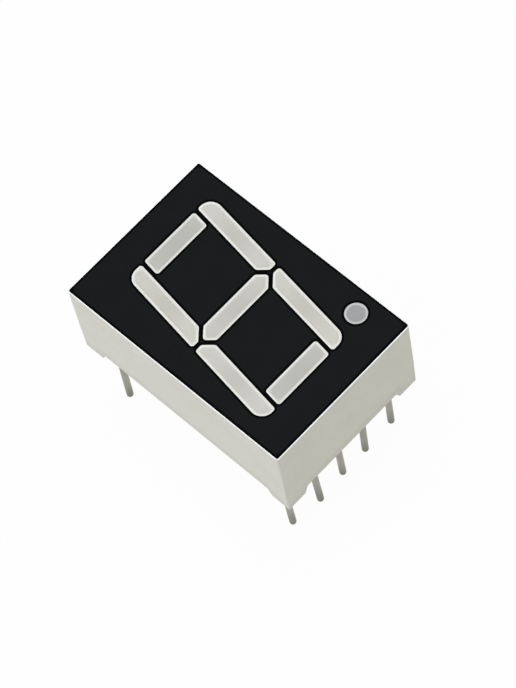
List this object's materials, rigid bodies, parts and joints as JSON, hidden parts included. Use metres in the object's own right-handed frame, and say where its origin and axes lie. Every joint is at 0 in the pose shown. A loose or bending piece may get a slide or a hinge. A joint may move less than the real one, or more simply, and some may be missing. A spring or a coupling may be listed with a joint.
{
  "type": "seven segment display",
  "caption": "Single digit seven segment display with decimal point: white housing, black face, clouded slanted segments, corner feet and two rows of round pins.",
  "frame": {"origin": "middle of the pin grid on the seating plane, where the corner feet end", "axes": "+Z out of the face, +Y up the digit, +X to the digit's right"},
  "size_m": [0.0126, 0.019, 0.0151],
  "materials": {
    "housing": "white moulded plastic, fine satin",
    "ink": "printed black ink, satin",
    "clouded_epoxy": "clouded light grey epoxy, smooth",
    "potting": "poured epoxy, smooth",
    "board": "phenolic laminate",
    "copper": "etched copper foil",
    "die": "sawn crystal",
    "gold": "drawn gold wire",
    "tinned_pin": "tinned wire, satin",
    "solder": "solder, satin"
  },
  "bodies": {
    "root": {"reflector_housing": "housing", "face_ink": "ink", "circuit_board": "board", "board_copper": "copper", "back_potting": "potting", "segment_a": "clouded_epoxy", "segment_b": "clouded_epoxy", "segment_c": "clouded_epoxy", "segment_d": "clouded_epoxy", "segment_e": "clouded_epoxy", "segment_f": "clouded_epoxy", "segment_g": "clouded_epoxy", "decimal_point": "clouded_epoxy", "die_a": "die", "die_b": "die", "die_c": "die", "die_d": "die", "die_e": "die", "die_f": "die", "die_g": "die", "die_dot": "die", "bond_wire_a": "gold", "bond_wire_b": "gold", "bond_wire_c": "gold", "bond_wire_d": "gold", "bond_wire_e": "gold", "bond_wire_f": "gold", "bond_wire_g": "gold", "bond_wire_dot": "gold", "pin_1": "tinned_pin", "pin_2": "tinned_pin", "pin_3": "tinned_pin", "pin_4": "tinned_pin", "pin_5": "tinned_pin", "pin_6": "tinned_pin", "pin_7": "tinned_pin", "pin_8": "tinned_pin", "pin_9": "tinned_pin", "pin_10": "tinned_pin", "solder_1": "solder", "solder_2": "solder", "solder_3": "solder", "solder_4": "solder", "solder_5": "solder", "solder_6": "solder", "solder_7": "solder", "solder_8": "solder", "solder_9": "solder", "solder_10": "solder"}
  },
  "joints": []
}
